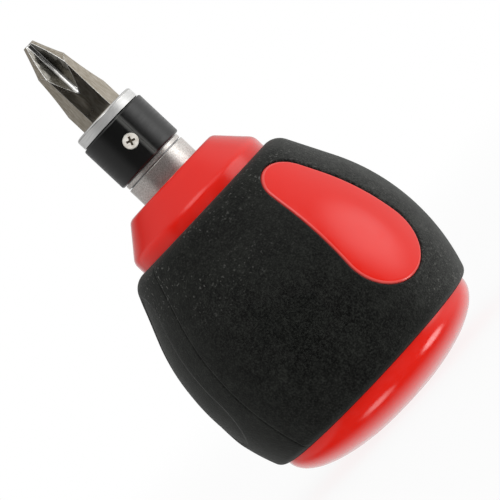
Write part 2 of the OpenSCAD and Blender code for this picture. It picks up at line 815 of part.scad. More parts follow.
// Shallow hollows for the thumb, spaced round the handle with the window
module thumb_hollows() {
    for (i = [1:window_count - 1]) rotate([0, 0, full_turn * i / window_count]) difference() {
        window_prism(0);
        skin_solid(thumb_sink);
    }
}

module handle_core() {
    color("red") difference() {
        union() {
            core_outside();
            intersection() {
                window_prism(0);
                skin_solid(window_sink);
            }
        }
        translate([0, 0, cap_h - cut]) cylinder(r = hollow_r, h = z_house - cap_h + cut);
        housing_block(seat_gap);
        translate([0, 0, z_house]) cylinder(r = ferrule_r + fit_gap, h = z_nose - z_house + cut);
        at_cover_screws() translate([0, 0, z_house - cut])
            cylinder(r = cover_screw_r + fit_gap, h = cover_screw_len - cover_t + 2 * cut);
    }
}

module grip() {
    inner = concat(under_rubber(fit_gap), [[nose_r + fit_gap, z_rubber]]);
    last = len(inner) - 1;
    color([0.12, 0.12, 0.12]) difference() {
        rotate_extrude() polygon(concat(skin(), [for (i = [last:-1:0]) inner[i]]));
        window_prism(fit_gap);
        thumb_hollows();
    }
}

module end_cap() {
    flat_z = dome_z(rest_r);
    dome = [for (i = [0:long_steps])
        let (r = rest_r + (cap_r - rest_r) * sin(90 * i / long_steps))
        [r, (dome_z(r) - flat_z) * cap_h / (cap_h - flat_z)]];
    spigot_r = hollow_r - fit_gap;
    color("red") difference() {
        union() {
            rotate_extrude() polygon(concat([[0, 0]], dome, [[0, cap_h]]));
            translate([0, 0, cap_h / 2]) cylinder(r = spigot_r, h = spigot_len + cap_h / 2);
        }
        translate([0, 0, cap_floor]) cylinder(r = spigot_r - spigot_wall, h = cap_h + spigot_len);
    }
}

bit();
bit_magnet();
spindle();
ratchet_gear();
gear_clip();
selector_collar();
selector_screw();
selector_sleeve();
thrust_washer();
ferrule();
ratchet_housing();
housing_cover();
cover_screws();
rear_bush();
pawl_a();
pawl_b();
pawl_spring_a();
pawl_spring_b();
detent_spring();
handle_core();
grip();
end_cap();
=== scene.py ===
"""Looks of the stubby ratcheting screwdriver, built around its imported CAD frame.

Mesh code works in millimetres, in the part's own frame: +Z runs from the handle to the bit, and
-Y faces the camera. An angle round the axis is counted in degrees from -Y towards +X.
"""

import json
import math

import bmesh
import bpy
from mathutils import Matrix, Vector


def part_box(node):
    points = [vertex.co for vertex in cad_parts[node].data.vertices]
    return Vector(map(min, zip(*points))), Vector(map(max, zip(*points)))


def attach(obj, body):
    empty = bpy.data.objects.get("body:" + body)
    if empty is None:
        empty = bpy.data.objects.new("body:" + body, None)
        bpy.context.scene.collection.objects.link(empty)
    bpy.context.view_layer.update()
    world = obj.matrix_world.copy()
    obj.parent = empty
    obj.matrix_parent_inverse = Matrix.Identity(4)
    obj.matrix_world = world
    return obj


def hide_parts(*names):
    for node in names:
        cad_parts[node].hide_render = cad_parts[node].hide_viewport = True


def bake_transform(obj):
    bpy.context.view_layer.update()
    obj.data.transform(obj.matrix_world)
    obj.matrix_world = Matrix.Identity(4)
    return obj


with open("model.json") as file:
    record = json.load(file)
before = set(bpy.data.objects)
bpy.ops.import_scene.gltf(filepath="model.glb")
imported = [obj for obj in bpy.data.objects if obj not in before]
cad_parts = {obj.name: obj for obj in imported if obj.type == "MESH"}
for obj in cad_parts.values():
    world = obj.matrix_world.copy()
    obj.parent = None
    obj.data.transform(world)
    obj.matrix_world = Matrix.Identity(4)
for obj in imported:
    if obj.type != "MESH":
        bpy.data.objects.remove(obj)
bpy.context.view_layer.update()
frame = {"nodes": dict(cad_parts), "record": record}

MM = 0.001

# Heights and radii that the frame gives
GRIP_LOW, GRIP_HIGH = (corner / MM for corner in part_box("grip"))
GRIP_R = GRIP_HIGH.x
Z_RUBBER = GRIP_HIGH.z
Z_REAR = GRIP_LOW.z
Z_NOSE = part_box("handle_core")[1].z / MM
HOUSING_LOW, HOUSING_HIGH = (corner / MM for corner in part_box("ratchet_housing"))
COVER_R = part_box("housing_cover")[1].x / MM
WASHER_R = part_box("thrust_washer")[1].x / MM
BIT_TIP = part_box("bit")[1].z / MM
COLLAR_LOW, COLLAR_HIGH = (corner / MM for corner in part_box("selector_collar"))

# Shape of the handle, as in the part's source
SEAT_GAP = 0.05
FIT_GAP = 0.03
BELLY_LEN = 11.9
TAPER_LEN = 21.6
REAR_CURVE_R = 32.0
GRIP_TAPER = math.radians(25.0)
FRONT_ROUND = 3.0
REAR_ROUND = 1.6
RUBBER_T = 2.8
FRONT_LIP = 2.1
NOSE_R = 12.5
NOSE_LAP = 2.1
NOSE_LIP = 2.5
NOSE_ROUND = 1.3
NOSE_ANGLE = math.radians(41.2)
WASHER_STEP = 0.13
COVER_GAP = 0.1
WINDOW_ANGLE = 41.0
WINDOW_REAR = 6.1
WINDOW_FRONT = 2.2
WINDOW_REAR_R = 6.9
WINDOW_FRONT_R = 4.2
WINDOW_SIDE_R = 120.0
WINDOW_SINK = 0.1
THUMB_SINK = 0.3
CAP_STEP = 1.0
REST_R = 7.0
DOME_P = 2.2
DOME_Q = 2.1
CAP_FLOOR = 2.6
SPIGOT_LEN = 4.5
SPIGOT_WALL = 2.1

# Edges that only the looks have
NOSE_EDGE_ROUND = 1.9
BORE_EDGE = 0.1
LIP_ROUND = 0.3
WINDOW_ROUND = 0.35
WINDOW_GAP = 0.04
WINDOW_RINGS = (0.3, 0.6, 0.9)

# Thumb hollows: their turns from the window, and the width of their slope for its depth
THUMB_TURNS = (-120.0, 120.0)
THUMB_SLOPE = 3

# Mould parting lines: each starts after some rows of the rear rounding and runs over some rows of
# the front rounding.
PARTING_ANGLES = (-49.0, 131.0)
PARTING_DEPTH = 0.07
PARTING_HALF = 0.55
PARTING_SHARES = (0.4, 1.0)
PARTING_REAR_ROWS = 4
PARTING_FRONT_ROWS = 8

# Room that the grid leaves round a drop: behind it, in front of it in the rubber's skin, in front
# of it in the core, and to each side of its middle in degrees
REAR_MARGIN = 0.7
OUTER_MARGIN = 0.45
INNER_MARGIN = 0.03
PATCH_HALF_ANGLE = 23

# A point this close to a surface lies on it.
SKIN = 0.02

# Fineness of the meshes
REAR_STEPS = 10
BELLY_ROWS = 84
FRONT_STEPS = 16
CLOSING_SHARES = (0.75, 0.5, 0.25, 0.0)
LIP_STEPS = 5
THUMB_STEPS = 6
WINDOW_STEPS = 6
NOSE_EDGE_STEPS = 8
CONE_ROWS = 12
NOSE_STEPS = 10
REST_SHARES = (0.0, 0.5, 0.9)
DOME_ROWS = 40
DOME_COLUMN = 1.5
BEVEL_SEGMENTS = 3

# Vertices this close, in metres, are one, and so are faces this flat to each other, in degrees.
WELD = 1e-7
FLAT_ANGLE = 0.3

CAP_H = Z_REAR - SEAT_GAP
Z_BELLY = CAP_H + BELLY_LEN
Z_LAP = Z_RUBBER - NOSE_LAP
FRONT_R = NOSE_R + FRONT_LIP
FRONT_CURVE_R = (
    TAPER_LEN * math.sin(GRIP_TAPER) - (GRIP_R - FRONT_R) * math.cos(GRIP_TAPER)
) / (1 - math.cos(GRIP_TAPER))
NECK_R = WASHER_R + WASHER_STEP
HOLLOW_R = COVER_R + COVER_GAP
DROP_REAR = CAP_H + WINDOW_REAR + WINDOW_REAR_R
DROP_FRONT = Z_RUBBER - WINDOW_FRONT - WINDOW_FRONT_R
REAR_Z = Z_REAR + REAR_ROUND
REAR_LEAN = math.asin((REAR_Z - Z_BELLY) / (REAR_CURVE_R - REAR_ROUND))
FRONT_Z = Z_RUBBER - FRONT_ROUND


# Outlines


def arc(x, z, r, start, stop, steps):
    """Points of an arc about (x, z), between two angles in radians."""
    return [
        (x + r * math.cos(a), z + r * math.sin(a))
        for a in (start + (stop - start) * i / steps for i in range(steps + 1))
    ]


def skin_r(z, sink=0.0):
    """Radius of the rubber's skin at a height, sunk below the skin."""
    if z <= Z_BELLY:
        curve = REAR_CURVE_R
    elif z <= Z_BELLY + (FRONT_CURVE_R - sink) * math.sin(GRIP_TAPER):
        curve = FRONT_CURVE_R
    else:
        return FRONT_R + (Z_RUBBER - z) * math.tan(GRIP_TAPER) - sink / math.cos(GRIP_TAPER)
    return GRIP_R - curve + math.sqrt((curve - sink) ** 2 - (z - Z_BELLY) ** 2)


def dome_z(r):
    """Height of the rear dome at a radius, before its rest flat."""
    return CAP_H * (1 - max(0.0, 1 - (r / CAP_R) ** DOME_P) ** (1 / DOME_Q))


CAP_R = skin_r(Z_REAR) - CAP_STEP


def drop_distance(x, z):
    """Distance from the window's drop outline, negative inside, and the outward direction."""
    length = DROP_FRONT - DROP_REAR
    rear_reach, front_reach = WINDOW_SIDE_R - WINDOW_REAR_R, WINDOW_SIDE_R - WINDOW_FRONT_R
    rise = (rear_reach**2 - front_reach**2 + length**2) / (2 * length)
    across = math.sqrt(rear_reach**2 - rise**2)
    up = z - DROP_REAR
    turn = math.atan2(up - rise, abs(x) + across)
    if turn < math.atan2(-rise, across):
        out_x, out_z, r = abs(x), up, WINDOW_REAR_R
    elif turn > math.atan2(length - rise, across):
        out_x, out_z, r = abs(x), up - length, WINDOW_FRONT_R
    else:
        out_x, out_z, r = abs(x) + across, up - rise, WINDOW_SIDE_R
    reach = math.hypot(out_x, out_z)
    return reach - r, (math.copysign(out_x / reach, x), out_z / reach)


# Meshes


class Shell:
    """Vertices, in millimetres, and faces of one piece."""

    def __init__(self):
        self.verts = []
        self.faces = []

    def add(self, points):
        """New vertices, by their numbers."""
        first = len(self.verts)
        self.verts += points
        return list(range(first, len(self.verts)))

    def bridge(self, a, b):
        """Faces between two closed loops of the same length."""
        for k in range(len(a)):
            n = (k + 1) % len(a)
            self.faces.append((a[k], a[n], b[n], b[k]))

    def lathe(self, profile, angles, holes=()):
        """Turns a closed profile round the axis and leaves the (rows, columns) holes open."""
        rows = [self.add([around(r, a, z) for a in angles]) for r, z in profile]
        for i, row in enumerate(rows):
            above = rows[(i + 1) % len(rows)]
            for j in range(len(angles)):
                n = (j + 1) % len(angles)
                if not any(i in up and j in across for up, across in holes):
                    self.faces.append((row[j], row[n], above[n], above[j]))
        return rows


def around(r, angle, z):
    """A point at a radius, an angle round the axis and a height."""
    a = math.radians(angle)
    return (r * math.sin(a), -r * math.cos(a), z)


def column_angles():
    """Whole degrees, with closer columns beside the two mould parting lines."""
    extra = [
        line + side * share * PARTING_HALF
        for line in PARTING_ANGLES
        for side in (-1, 1)
        for share in PARTING_SHARES
    ]
    return sorted([float(a) for a in range(-180, 180)] + extra)


class Patch:
    """A drop-shaped field in a turned surface: the rectangle of columns and rows round it, and the
    way from each vertex of that rectangle square on to the drop outline."""

    def __init__(self, centre, angles, heights, margin):
        self.centre = centre
        turns = [(a - centre + 180) % 360 - 180 for a in angles]
        across = [j for j, turn in enumerate(turns) if abs(turn) <= PATCH_HALF_ANGLE]
        split = next((k for k in range(1, len(across)) if across[k] > across[k - 1] + 1), 0)
        self.columns = across[split:] + across[:split]
        bottom = DROP_REAR - WINDOW_REAR_R - REAR_MARGIN
        top = DROP_FRONT + WINDOW_FRONT_R + margin
        low = max(i for i, z in enumerate(heights) if z < bottom)
        high = min(i for i, z in enumerate(heights) if z > top)
        self.rows = list(range(low, high + 1))
        self.path = self.walk(self.columns, self.rows)
        self.feet = []
        for j, i in self.path:
            z = heights[i]
            x = skin_r(z) * math.sin(math.radians(turns[j]))
            distance, (ox, oz) = drop_distance(x, z)
            self.feet.append((x - distance * ox, z - distance * oz, ox, oz, distance))

    @staticmethod
    def walk(columns, rows):
        """The rectangle's edge, once round."""
        return (
            [(j, rows[0]) for j in columns[:-1]]
            + [(columns[-1], i) for i in rows[:-1]]
            + [(j, rows[-1]) for j in columns[:0:-1]]
            + [(columns[0], i) for i in rows[:0:-1]]
        )

    def hole(self, first_row=0):
        """The faces that the patch takes out of the turned surface, for lathe."""
        return (
            {first_row + i for i in self.rows[:-1]},
            set(self.columns[:-1]),
        )

    def point(self, x, z, sink):
        """A place on the unrolled patch, wrapped round the axis."""
        turn = math.degrees(math.asin(x / skin_r(z)))
        return around(skin_r(z, sink), self.centre + turn, z)

    def ring(self, shell, sink, off=None, share=0.0, last=0.0):
        """A loop round the drop, at a distance off it or at a share of the way to the rectangle."""
        points = []
        for x, z, ox, oz, distance in self.feet:
            step = off if off is not None else last + share * (distance - last)
            points.append(self.point(x + step * ox, z + step * oz, sink))
        return shell.add(points)

    def fill(self, shell, loop, sink, off):
        """Closes a loop that lies off the drop outline with a grid of blended rows and columns."""
        n, m = len(self.columns) - 1, len(self.rows) - 1
        flat = [(x + off * ox, z + off * oz) for x, z, ox, oz, _ in self.feet]
        bottom, right = flat[: n + 1], flat[n : n + m + 1]
        top, left = flat[n + m : 2 * n + m + 1][::-1], (flat[2 * n + m :] + flat[:1])[::-1]
        at = {}
        for k, j in enumerate(loop):
            if k <= n:
                at[k, 0] = j
            elif k <= n + m:
                at[n, k - n] = j
            elif k <= 2 * n + m:
                at[2 * n + m - k, m] = j
            else:
                at[0, 2 * (n + m) - k] = j
        for a in range(1, n):
            for b in range(1, m):
                u, v = a / n, b / m
                x, z = (
                    (1 - v) * bottom[a][c]
                    + v * top[a][c]
                    + (1 - u) * left[b][c]
                    + u * right[b][c]
                    - (1 - u) * (1 - v) * bottom[0][c]
                    - u * (1 - v) * bottom[n][c]
                    - (1 - u) * v * top[0][c]
                    - u * v * top[n][c]
                    for c in (0, 1)
                )
                at[a, b] = shell.add([self.point(x, z, sink)])[0]
        for a in range(n):
            for b in range(m):
                shell.faces.append((at[a, b], at[a + 1, b], at[a + 1, b + 1], at[a, b + 1]))


def finish_mesh(mesh, smooth_angle):
    """Joins double vertices, turns the faces outwards and shades smooth up to an angle."""
    bm = bmesh.new()
    bm.from_mesh(mesh)
    bmesh.ops.remove_doubles(bm, verts=bm.verts, dist=WELD)
    loose = [v for v in bm.verts if not v.link_faces]
    bmesh.ops.delete(bm, geom=loose, context="VERTS")
    bmesh.ops.recalc_face_normals(bm, faces=bm.faces)
    bm.to_mesh(mesh)
    bm.free()
    mesh.shade_smooth()
    mesh.set_sharp_from_angle(angle=math.radians(smooth_angle))


def piece(name, mesh, node):
    """Shows a mesh in place of a CAD node, on the node's body."""
    obj = bpy.data.objects.new(name, mesh)
    bpy.context.scene.collection.objects.link(obj)
    bodies = frame["record"]["behaviour"]["bodies"]
    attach(obj, next(body for body, nodes in bodies.items() if node in nodes))
    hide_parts(node)
    return obj


def shell_piece(name, shell, node, smooth_angle=35):
    """A piece made of a shell."""
    mesh = bpy.data.meshes.new(name)
    mesh.from_pydata([Vector(v) * MM for v in shell.verts], [], shell.faces)
    finish_mesh(mesh, smooth_angle)
    return piece(name, mesh, node)


def eased_piece(name, node, ease, share=None, limit=30):
    """A copy of a CAD node with its flat faces joined up and its hard edges rounded, each by the
    share of the ease that it asks for."""
    mesh = bpy.data.meshes.new(name)
    bm = bmesh.new()
    bm.from_mesh(frame["nodes"][node].data)
    bmesh.ops.remove_doubles(bm, verts=bm.verts, dist=WELD)
    bmesh.ops.dissolve_limit(
        bm, angle_limit=math.radians(FLAT_ANGLE), verts=bm.verts, edges=bm.edges
    )
    bmesh.ops.recalc_face_normals(bm, faces=bm.faces)
    weight = bm.edges.layers.float.new("bevel_weight_edge")
    for edge in bm.edges:
        if edge.is_manifold and edge.calc_face_angle() > math.radians(limit):
            edge[weight] = share(edge) if share else 1.0
    bm.to_mesh(mesh)
    bm.free()
    mesh.shade_smooth()
    mesh.set_sharp_from_angle(angle=math.radians(limit))
    obj = piece(name, mesh, node)
    if ease:
        bevel = obj.modifiers.new("ease", "BEVEL")
        bevel.width = ease * MM
        bevel.segments = BEVEL_SEGMENTS
        bevel.limit_method = "WEIGHT"
        bevel.use_clamp_overlap = False
        bevel.harden_normals = True
    return obj


def shade_round(obj, radius):
    """Shades the faces on a cylinder about the axis as a true cylinder."""
    mesh = obj.data
    normals = [(0.0, 0.0, 0.0)] * len(mesh.loops)
    for face in mesh.polygons:
        corners = [Vector((*mesh.vertices[v].co.xy, 0)) for v in face.vertices]
        if all(abs(corner.length / MM - radius) < SKIN for corner in corners):
            for loop, corner in zip(face.loop_indices, corners):
                normals[loop] = corner.normalized()
    mesh.normals_split_custom_set(normals)


def paint(obj, index, test):
    """Gives a material slot to the faces whose middle, in millimetres, passes a test."""
    for face in obj.data.polygons:
        if test(face.center / MM):
            face.material_index = index


# Handle


def belly_heights():
    """Row heights of the rubber between its two end roundings."""
    low = REAR_Z + REAR_ROUND * math.sin(REAR_LEAN)
    high = FRONT_Z + FRONT_ROUND * math.sin(GRIP_TAPER)
    return [low + (high - low) * i / BELLY_ROWS for i in range(BELLY_ROWS + 1)]


def inner_heights(heights, top):
    """The rows up to one row, with the last of them squeezed below the lap of the nose."""
    start = DROP_FRONT
    share = (Z_LAP - SEAT_GAP - start) / (heights[top] - start)
    return [z if z < start else start + (z - start) * share for z in heights[: top + 1]]


def make_grip():
    """Rubber with its window opening, two thumb hollows and two parting lines."""
    angles, heights = column_angles(), belly_heights()
    window, *thumbs = (
        Patch(WINDOW_ANGLE + turn, angles, heights, OUTER_MARGIN) for turn in (0.0, *THUMB_TURNS)
    )
    inner = inner_heights(heights, window.rows[-1])
    rear = arc(
        skin_r(REAR_Z, REAR_ROUND), REAR_Z, REAR_ROUND, -math.pi / 2, REAR_LEAN, REAR_STEPS
    )[:-1]
    front = arc(
        skin_r(FRONT_Z, FRONT_ROUND), FRONT_Z, FRONT_ROUND, GRIP_TAPER, math.pi / 2, FRONT_STEPS
    )[1:]
    profile = (
        rear
        + [(skin_r(z), z) for z in heights]
        + front
        + [(NOSE_R + FIT_GAP, Z_RUBBER), (NOSE_R + FIT_GAP, Z_LAP)]
        + [(skin_r(z, RUBBER_T) + FIT_GAP, z) for z in reversed(inner)]
        + [(skin_r(Z_REAR, RUBBER_T) + FIT_GAP, Z_REAR)]
    )
    inner_last = len(profile) - 2
    inner_hole = ({inner_last - i - 1 for i in window.rows[:-1]}, set(window.columns[:-1]))
    shell = Shell()
    rows = shell.lathe(
        profile,
        angles,
        [patch.hole(len(rear)) for patch in (window, *thumbs)] + [inner_hole],
    )
    for line in PARTING_ANGLES:
        for j, a in enumerate(angles):
            away = abs(a - line) / PARTING_HALF
            if away < 1:
                for i in range(PARTING_REAR_ROWS, len(rear) + len(heights) + PARTING_FRONT_ROWS):
                    r, z = profile[i]
                    shell.verts[rows[i][j]] = around(r - PARTING_DEPTH * (1 - away**2), a, z)

    def outer_loop(patch):
        """The vertices of the skin round a patch."""
        return [rows[len(rear) + i][j] for j, i in patch.path]

    def close_in(patch, loop, start):
        """Rings on the skin from a loop down to a distance off the drop."""
        for share in CLOSING_SHARES:
            ring = patch.ring(shell, 0.0, share=share, last=start)
            shell.bridge(loop, ring)
            loop = ring
        return loop

    loop = close_in(window, outer_loop(window), WINDOW_GAP + LIP_ROUND)
    for i in range(1, LIP_STEPS + 1):
        a = math.pi / 2 * i / LIP_STEPS
        off = WINDOW_GAP + LIP_ROUND * (1 - math.sin(a))
        ring = window.ring(shell, LIP_ROUND * (1 - math.cos(a)), off=off)
        shell.bridge(loop, ring)
        loop = ring
    wall = window.ring(shell, RUBBER_T - FIT_GAP, off=WINDOW_GAP)
    shell.bridge(loop, wall)
    shell.bridge(wall, [rows[inner_last - i][j] for j, i in window.path])
    for thumb in thumbs:
        loop = close_in(thumb, outer_loop(thumb), THUMB_SINK)
        for i in range(1, THUMB_STEPS + 1):
            share = i / THUMB_STEPS
            ease = share * share * (3 - 2 * share)
            off = THUMB_SINK * (1 - THUMB_SLOPE * share)
            ring = thumb.ring(shell, THUMB_SINK * ease, off=off)
            shell.bridge(loop, ring)
            loop = ring
        thumb.fill(shell, loop, THUMB_SINK, off)
    return shell_piece("rubber_grip", shell, "grip")


def make_core():
    """Red core: the nose, the body under the rubber and the raised window."""
    angles = [float(a) for a in range(-180, 180)]
    heights = belly_heights()
    top = Patch(WINDOW_ANGLE, angles, heights, OUTER_MARGIN).rows[-1]
    heights = inner_heights(heights, top)
    bore_r = NECK_R + FIT_GAP
    face_r = bore_r + NOSE_LIP
    round_z = Z_NOSE - NOSE_ROUND
    side_r = face_r + NOSE_ROUND * math.cos(NOSE_ANGLE)
    side_z = round_z + NOSE_ROUND * math.sin(NOSE_ANGLE)
    corner_z = side_z - (NOSE_R - side_r) / math.tan(NOSE_ANGLE)
    back = NOSE_EDGE_ROUND * math.tan(NOSE_ANGLE / 2)
    edge = arc(
        NOSE_R - NOSE_EDGE_ROUND, corner_z - back, NOSE_EDGE_ROUND, 0, NOSE_ANGLE, NOSE_EDGE_STEPS
    )
    last_r, last_z = edge[-1]
    cone = [
        (last_r + (side_r - last_r) * k / CONE_ROWS, last_z + (side_z - last_z) * k / CONE_ROWS)
        for k in range(1, CONE_ROWS)
    ]
    cavity_r = HOUSING_HIGH.x + SEAT_GAP
    profile = (
        [(skin_r(z, RUBBER_T), z) for z in heights]
        + [(NOSE_R, Z_LAP)]
        + edge
        + cone
        + arc(face_r, round_z, NOSE_ROUND, NOSE_ANGLE, math.pi / 2, NOSE_STEPS)
        + [(bore_r + BORE_EDGE, Z_NOSE), (bore_r, Z_NOSE - BORE_EDGE), (bore_r, HOUSING_HIGH.z)]
        + [(cavity_r, HOUSING_HIGH.z), (cavity_r, HOUSING_LOW.z)]
        + [(HOLLOW_R, HOUSING_LOW.z), (HOLLOW_R, Z_REAR), (skin_r(Z_REAR, RUBBER_T), Z_REAR)]
    )
    window = Patch(WINDOW_ANGLE, angles, heights, INNER_MARGIN)
    shell = Shell()
    rows = shell.lathe(profile, angles, [window.hole()])
    loop = [rows[i][j] for j, i in window.path]
    foot = window.ring(shell, RUBBER_T, off=-WINDOW_GAP)
    shell.bridge(loop, foot)
    loop = foot
    for i in range(WINDOW_STEPS + 1):
        a = math.pi / 2 * i / WINDOW_STEPS
        off = -WINDOW_GAP - WINDOW_ROUND * (1 - math.cos(a))
        ring = window.ring(shell, WINDOW_SINK + WINDOW_ROUND * (1 - math.sin(a)), off=off)
        shell.bridge(loop, ring)
        loop = ring
    for step in WINDOW_RINGS:
        ring = window.ring(shell, WINDOW_SINK, off=off - step)
        shell.bridge(loop, ring)
        loop = ring
    window.fill(shell, loop, WINDOW_SINK, off - step)
    return shell_piece("red_core", shell, "handle_core")


def make_cap():
    """Rear dome with its rest flat, the floor and the spigot."""
    flat_z = dome_z(REST_R)
    dome = []
    for i in range(DOME_ROWS + 1):
        r = REST_R + (CAP_R - REST_R) * math.sin(math.pi / 2 * i / DOME_ROWS)
        dome.append((r, (dome_z(r) - flat_z) * CAP_H / (CAP_H - flat_z)))
    spigot_r = HOLLOW_R - FIT_GAP
    top = CAP_H + SPIGOT_LEN
    profile = (
        [(REST_R * share, 0.0) for share in REST_SHARES]
        + dome
        + [(spigot_r, CAP_H), (spigot_r, top), (spigot_r - SPIGOT_WALL, top)]
        + [(spigot_r - SPIGOT_WALL, CAP_FLOOR), (0.0, CAP_FLOOR)]
    )
    shell = Shell()
    shell.lathe(profile, [i * DOME_COLUMN for i in range(round(360 / DOME_COLUMN))])
    return shell_piece("red_end_cap", shell, "end_cap", smooth_angle=30)


# Materials

# Zones of the rubber in metres, for specks and the painted sheen on +X, and the collar's painted
# index highlight in degrees
SPECK_HEIGHTS = (0.024, 0.038)
PAINTED_SHEEN_SIDE = (0.009, 0.017)
INDEX_ANGLE = 12.5
INDEX_HIGHLIGHT_HALF = 6.5

# Cells of the marks' noise for each metre along X, Y and Z
ROUND_MARKS = (400, 400, 30000)
LENGTH_MARKS = (7000, 7000, 180)
BLANK_MARKS = (4500, 4500, 900)
NECK_MARKS = (7000, 7000, 5500)
COLLAR_MARKS = (500, 500, 9000)


def join(tree, socket, value):
    """Links an input to an output, or sets it to a value."""
    if isinstance(value, bpy.types.NodeSocket):
        tree.links.new(value, socket)
    else:
        socket.default_value = value


def opaque(value):
    """A colour's three numbers with full alpha; anything else stays as it is."""
    return (*value, 1) if isinstance(value, tuple) else value


def add_node(tree, kind, inputs=(), **settings):
    """A new node, with its inputs linked or set."""
    node = tree.nodes.new(kind)
    for key, value in settings.items():
        setattr(node, key, value)
    for key, value in dict(inputs).items():
        join(tree, node.inputs[key], value)
    return node


class Tree:
    """Short calls for the nodes of one material."""

    def __init__(self, name):
        self.material = bpy.data.materials.new(name)
        self.material.use_nodes = True
        self.tree = self.material.node_tree
        self.shader = self.tree.nodes["Principled BSDF"]

    def add(self, kind, inputs=(), **settings):
        """A new node of this material."""
        return add_node(self.tree, kind, inputs, **settings)

    def place(self, scale=(1, 1, 1)):
        """The part's own coordinates, stretched."""
        coord = self.add("ShaderNodeTexCoord")
        mapping = self.add(
            "ShaderNodeMapping", {"Vector": coord.outputs["Object"], "Scale": scale}
        )
        return mapping.outputs["Vector"]

    def noise(self, scale, detail=2.0, stretch=(1, 1, 1), roughness=0.5):
        """Noise over the part's own coordinates."""
        node = self.add(
            "ShaderNodeTexNoise",
            {
                "Vector": self.place(stretch),
                "Scale": scale,
                "Detail": detail,
                "Roughness": roughness,
            },
        )
        return node.outputs["Fac"]

    def spread(self, value, low, high, to_low, to_high):
        """A value mapped from one range to another and held at its ends."""
        node = self.add(
            "ShaderNodeMapRange",
            {0: value, 1: low, 2: high, 3: to_low, 4: to_high},
            interpolation_type="SMOOTHSTEP",
        )
        return node.outputs["Result"]

    def blend(self, factor, first, second):
        """A colour between two."""
        node = self.add(
            "ShaderNodeMix", {0: factor, 6: opaque(first), 7: opaque(second)}, data_type="RGBA"
        )
        return node.outputs[2]

    def math(self, operation, first, second=0.0):
        """The result of one sum."""
        return self.add("ShaderNodeMath", {0: first, 1: second}, operation=operation).outputs[0]

    def relief(self, height, strength, distance, normal=None):
        """A bumped normal, over another one where it is given."""
        inputs = {"Height": height, "Strength": strength, "Distance": distance}
        if normal is not None:
            inputs["Normal"] = normal
        return self.add("ShaderNodeBump", inputs).outputs["Normal"]

    def finish(self, **inputs):
        """Links or sets the shader's inputs and gives the material."""
        for key, value in inputs.items():
            join(self.tree, self.shader.inputs[key.replace("_", " ")], opaque(value))
        return self.material


def rubber():
    """Grained rubber with pale specks near its front; towards +X a painted sheen makes it paler and
    more speckled.
    """
    t = Tree("black_rubber")
    grain = t.noise(3600, 2.0, roughness=0.7)
    tone = t.spread(grain, 0.38, 0.76, 0.0, 0.8)
    for scale, share in ((1100, 0.25), (260, 0.22)):
        tone = t.math("ADD", tone, t.spread(t.noise(scale, 3.0), 0.38, 0.78, 0.0, share))
    axes = t.add("ShaderNodeSeparateXYZ", {0: t.place()})
    front = t.spread(axes.outputs["Z"], *SPECK_HEIGHTS, 0.0, 1.0)
    # Painted sheen: towards +X the rubber is painted paler and its specks thicken, standing in for
    # grazing light.
    side = t.spread(axes.outputs["X"], *PAINTED_SHEEN_SIDE, 0.0, 1.0)
    patchy = t.spread(t.noise(75, 2.0), 0.4, 0.62, 0.15, 1.0)
    specks_and_sheen_mask = t.math("MULTIPLY", patchy, t.math("MAXIMUM", front, side))
    specks = t.spread(t.noise(2300, 1.0), 0.62, 0.74, 0.0, 1.0)
    # Painted sheen: the light end of the rubber's tone is paler towards +X.
    pale = t.blend(side, (0.02, 0.0217, 0.0184), (0.06, 0.062, 0.057))
    body = t.blend(tone, (0.0008, 0.001, 0.0006), pale)
    normal = t.relief(grain, 0.6, 0.0001, t.relief(t.noise(1300, 2.0), 0.25, 0.0001))
    return t.finish(
        Base_Color=t.blend(t.math("MULTIPLY", specks_and_sheen_mask, specks), body, (0.11, 0.11, 0.102)),
        Roughness=t.spread(grain, 0.3, 0.7, 0.56, 0.74),
        Normal=normal,
        Specular_IOR_Level=0.14,
        Sheen_Weight=0.07,
        Sheen_Roughness=0.5,
        Sheen_Tint=(0.98, 1.0, 0.95),
    )


def red_plastic(name, low, high):
    """Glossy moulded plastic between two reds, with faint scuffs."""
    t = Tree(name)
    shade = t.noise(60, 3.0)
    scuffs = t.noise(420, 5.0, roughness=0.7)
    peel = t.noise(900, 1.0)
    return t.finish(
        Base_Color=t.blend(shade, low, high),
        Roughness=t.spread(scuffs, 0.35, 0.75, 0.13, 0.24),
        Normal=t.relief(peel, 0.06, 0.00004),
        IOR=1.5,
    )


def steel(name, colours, roughness, stretch, strength=0.15, metallic=1.0):
    """Bare steel with fine marks that run along the axes of the small stretch."""
    t = Tree(name)
    marks = t.noise(1.0, 3.0, stretch, 0.6)
    cloud = t.noise(350, 3.0)
    return t.finish(
        Base_Color=t.blend(t.spread(marks, 0.3, 0.7, 0.0, 1.0), *colours),
        Roughness=t.spread(cloud, 0.3, 0.7, *roughness),
        Normal=t.relief(marks, strength, 0.00002),
        Metallic=metallic,
    )


def satin_black():
    """Black oxide with a painted highlight, a soft pale band along the collar's index line."""
    t = Tree("black_collar")
    marks = t.noise(1.0, 2.0, COLLAR_MARKS, 0.6)
    haze = t.noise(300, 4.0)
    axes = t.add("ShaderNodeSeparateXYZ", {0: t.place()})
    turn = t.math("ARCTAN2", axes.outputs["X"], t.math("MULTIPLY", axes.outputs["Y"], -1.0))
    off = t.math("ABSOLUTE", t.math("SUBTRACT", turn, math.radians(INDEX_ANGLE)))
    # Painted highlight: a soft pale band either side of the index line.
    index = t.spread(off, 0.0, math.radians(INDEX_HIGHLIGHT_HALF), 1.0, 0.0)
    body = t.blend(haze, (0.0025, 0.0027, 0.0024), (0.0055, 0.0058, 0.0056))
    return t.finish(
        Base_Color=t.blend(index, body, (0.085, 0.087, 0.082)),
        Roughness=t.spread(marks, 0.3, 0.7, 0.3, 0.42),
        Normal=t.relief(marks, 0.08, 0.00002),
        IOR=1.55,
    )


def matt(name, colours, roughness, scale):
    """Clouded matt colour, here a painted reflection on the screw's head and painted shade in its
    recess.
    """
    t = Tree(name)
    cloud = t.noise(scale, 3.0)
    return t.finish(
        Base_Color=t.blend(cloud, *colours),
        Roughness=t.spread(cloud, 0.3, 0.7, *roughness),
    )


